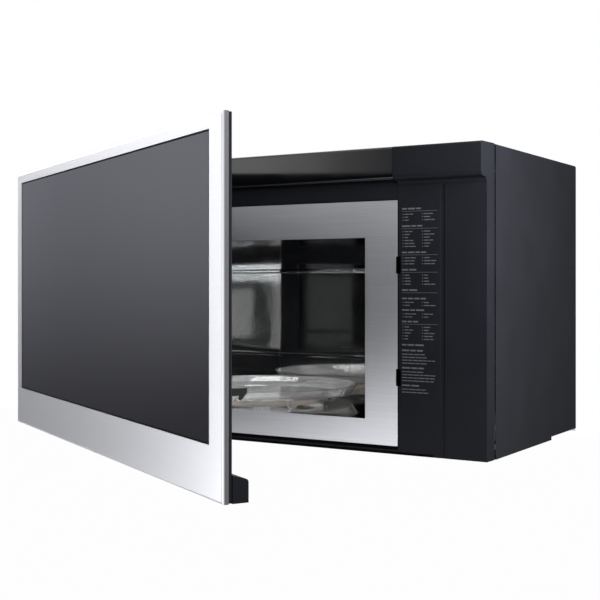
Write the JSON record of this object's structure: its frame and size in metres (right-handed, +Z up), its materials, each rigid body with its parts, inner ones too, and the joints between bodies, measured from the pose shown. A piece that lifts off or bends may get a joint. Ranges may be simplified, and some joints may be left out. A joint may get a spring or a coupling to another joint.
{
  "type": "over-the-range microwave",
  "caption": "Over-the-range microwave oven with a full-width side-hinged glass door, mirrored cavity, turntable, black header and side panel, blower, and grease filters in its base.",
  "frame": {"origin": "middle of the cabinet's back face, which lies on the wall", "axes": "+X to the viewer's right, +Y back into the wall, +Z up; the door faces -Y"},
  "size_m": [0.7761, 0.7251, 0.407],
  "materials": {
    "painted_steel": "charcoal satin paint",
    "galvanised_steel": "zinc coated",
    "black_moulding": "fine satin grain",
    "gloss_header": "gloss",
    "dark_plastic": "moulded",
    "pale_plastic": "moulded",
    "brushed_plate": "horizontal brushed",
    "polished_steel": "mirror polished stainless steel",
    "mica": "mica sheet",
    "core_iron": "laminated and varnished",
    "winding": "enamelled copper wire",
    "aluminium_can": "drawn can",
    "circuit_board": "solder mask",
    "pin_steel": "turned",
    "tray_glass": "clear tempered glass",
    "filter_mesh": "expanded mesh",
    "lens_glass": "frosted",
    "brushed_door": "horizontal brushed",
    "dark_glass": "tinted mirror glass",
    "screen_steel": "perforated, black",
    "inner_glass": "clear"
  },
  "bodies": {
    "cabinet": {"outer_wrap": "painted_steel", "back_panel": "galvanised_steel", "base_panel": "painted_steel", "front_frame": "black_moulding", "control_panel": "black_moulding", "vent_grille": "gloss_header", "charcoal_filter": "dark_plastic", "cavity_front_plate": "brushed_plate", "cavity_liner": "polished_steel", "waveguide_cover": "mica", "waveguide": "galvanised_steel", "magnetron": "galvanised_steel", "transformer_core": "core_iron", "transformer_coils": "winding", "hv_capacitor": "aluminium_can", "fan_shroud": "dark_plastic", "cooling_fan_motor": "galvanised_steel", "control_board": "circuit_board", "upper_hinge_bracket": "galvanised_steel", "lower_hinge_bracket": "galvanised_steel", "upper_hinge_pin": "pin_steel", "lower_hinge_pin": "pin_steel", "interlock_bracket": "galvanised_steel", "upper_switch": "dark_plastic", "lower_switch": "dark_plastic", "turntable_motor": "galvanised_steel", "vent_motor": "galvanised_steel", "vent_scroll_left": "dark_plastic", "vent_scroll_right": "dark_plastic", "exhaust_adaptor": "galvanised_steel", "cord_bushing": "dark_plastic", "lamp_lens": "lens_glass", "cavity_lamp": "lens_glass"},
    "door": {"door_steel_frame": "brushed_door", "door_glass": "dark_glass", "door_back_frame": "black_moulding", "choke_frame": "galvanised_steel", "choke_cover": "black_moulding", "window_screen": "screen_steel", "inner_window": "inner_glass", "door_grip": "black_moulding", "upper_hinge_arm": "pin_steel", "lower_hinge_arm": "pin_steel"},
    "latch": {"door_latch": "dark_plastic"},
    "turntable": {"turntable_coupler": "pale_plastic", "glass_tray": "tray_glass"},
    "ring": {"roller_ring": "pale_plastic"},
    "roller_a": {"roller_1": "pale_plastic"},
    "roller_b": {"roller_2": "pale_plastic"},
    "roller_c": {"roller_3": "pale_plastic"},
    "vent_rotor": {"vent_shaft": "pin_steel", "vent_wheel_left": "pale_plastic", "vent_wheel_right": "pale_plastic"},
    "fan_rotor": {"cooling_fan": "pale_plastic"},
    "damper": {"damper_flap": "galvanised_steel"},
    "left_filter": {"grease_filter_left": "filter_mesh"},
    "right_filter": {"grease_filter_right": "filter_mesh"},
    "upper_button": {"upper_plunger": "pale_plastic"},
    "lower_button": {"lower_plunger": "pale_plastic"}
  },
  "joints": [
    {"name": "door_swing", "type": "hinge", "parent": "cabinet", "child": "door", "pos_m": [-0.36, -0.324, 0], "axis": [0, 0, 1], "range_deg": [-70.5, 29.5]},
    {"name": "latch_lift", "type": "slide", "parent": "door", "child": "latch", "axis": [0, 0, 1], "range_m": [0, 0.005], "stiffness_N_per_m": 400, "springref_m": -0.004},
    {"name": "turntable_spin", "type": "hinge", "parent": "cabinet", "child": "turntable", "pos_m": [-0.0542, -0.1814, -0.15], "axis": [0, 0, 1], "continuous": true},
    {"name": "ring_spin", "type": "hinge", "parent": "cabinet", "child": "ring", "pos_m": [-0.0542, -0.1814, -0.15], "axis": [0, 0, 1], "continuous": true},
    {"name": "roller_1_spin", "type": "hinge", "parent": "ring", "child": "roller_a", "pos_m": [-0.0542, -0.1814, -0.1512], "axis": [0, 1, 0], "continuous": true},
    {"name": "roller_2_spin", "type": "hinge", "parent": "ring", "child": "roller_b", "pos_m": [-0.0542, -0.1814, -0.1512], "axis": [-0.866, -0.5, 0], "continuous": true},
    {"name": "roller_3_spin", "type": "hinge", "parent": "ring", "child": "roller_c", "pos_m": [-0.0542, -0.1814, -0.1512], "axis": [0.866, -0.5, 0], "continuous": true},
    {"name": "vent_spin", "type": "hinge", "parent": "cabinet", "child": "vent_rotor", "pos_m": [0, -0.085, 0.1346], "axis": [1, 0, 0], "continuous": true},
    {"name": "cooling_fan_spin", "type": "hinge", "parent": "cabinet", "child": "fan_rotor", "pos_m": [0.31785, -0.013, 0.0815], "axis": [0, 1, 0], "continuous": true},
    {"name": "damper_swing", "type": "hinge", "parent": "cabinet", "child": "damper", "pos_m": [0, -0.032, 0.198], "axis": [-1, 0, 0], "range_deg": [0, 75]},
    {"name": "left_filter_slide", "type": "slide", "parent": "cabinet", "child": "left_filter", "axis": [0, 1, 0], "range_m": [0, 0.012]},
    {"name": "right_filter_slide", "type": "slide", "parent": "cabinet", "child": "right_filter", "axis": [0, 1, 0], "range_m": [0, 0.012]},
    {"name": "upper_button_press", "type": "slide", "parent": "cabinet", "child": "upper_button", "axis": [0, 1, 0], "range_m": [0, 0.0015], "stiffness_N_per_m": 300, "springref_m": -0.001},
    {"name": "lower_button_press", "type": "slide", "parent": "cabinet", "child": "lower_button", "axis": [0, 1, 0], "range_m": [0, 0.0015], "stiffness_N_per_m": 300, "springref_m": -0.001}
  ],
  "couplings": [
    {"joint": "ring_spin", "follows": "turntable_spin", "ratio": 0.5},
    {"joint": "roller_1_spin", "follows": "turntable_spin", "ratio": -7.28},
    {"joint": "roller_2_spin", "follows": "turntable_spin", "ratio": -7.28},
    {"joint": "roller_3_spin", "follows": "turntable_spin", "ratio": -7.28}
  ]
}
